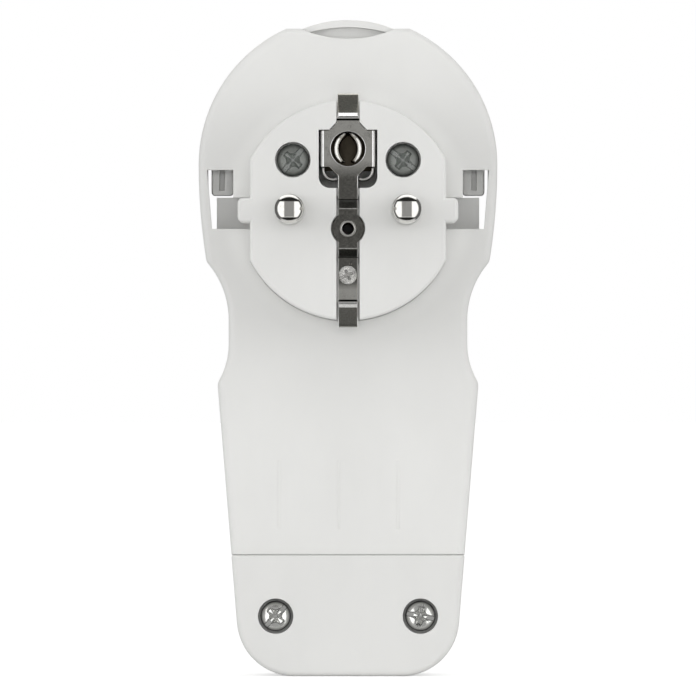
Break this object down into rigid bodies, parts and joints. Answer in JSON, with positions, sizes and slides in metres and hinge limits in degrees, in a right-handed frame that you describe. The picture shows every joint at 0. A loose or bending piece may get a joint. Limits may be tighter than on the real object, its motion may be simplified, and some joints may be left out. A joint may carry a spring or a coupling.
{
  "type": "flat mains plug with pull handle",
  "caption": "Flat mains plug with round pins and an earth clip, a screwed housing, a clamp cover at the cable end and a hinged pull handle.",
  "frame": {"origin": "midway between the axes of the two pins, on the front face of the contact block", "axes": "-Y along the pins towards the wall socket, +Z away from the cable end along the flat body, +X across the pins"},
  "size_m": [0.0492, 0.054, 0.1081],
  "materials": {
    "rear_shell": "matt",
    "contact_block": "matt",
    "front_cover": "matt",
    "clamp_cover": "matt",
    "pull_handle": "matt",
    "live_pin": "satin nickel plate",
    "neutral_pin": "satin nickel plate",
    "terminal_screws": "zinc plate",
    "earth_clip": "dull nickel plate",
    "earth_receptacle": "nickel plate",
    "eyelet": "nickel plate",
    "earth_screw": "zinc plate",
    "earth_link": "plain",
    "earth_terminal": "plain",
    "earth_terminal_screw": "zinc plate",
    "housing_screws": "dull zinc plate",
    "clamp_screws": "bright zinc plate",
    "housing_inserts": "plain",
    "clamp_inserts": "plain"
  },
  "bodies": {
    "housing": {"rear_shell": "rear_shell", "contact_block": "contact_block", "front_cover": "front_cover", "clamp_cover": "clamp_cover", "live_pin": "live_pin", "neutral_pin": "neutral_pin", "terminal_screws": "terminal_screws", "earth_clip": "earth_clip", "earth_receptacle": "earth_receptacle", "eyelet": "eyelet", "earth_screw": "earth_screw", "earth_link": "earth_link", "earth_terminal": "earth_terminal", "earth_terminal_screw": "earth_terminal_screw", "housing_screws": "housing_screws", "clamp_screws": "clamp_screws", "housing_inserts": "housing_inserts", "clamp_inserts": "clamp_inserts"},
    "handle": {"pull_handle": "pull_handle"}
  },
  "joints": [
    {"name": "handle_hinge", "type": "hinge", "parent": "housing", "child": "handle", "pos_m": [0, 0.0303, 0.0054], "axis": [-1, 0, 0], "range_deg": [0, 90]}
  ]
}
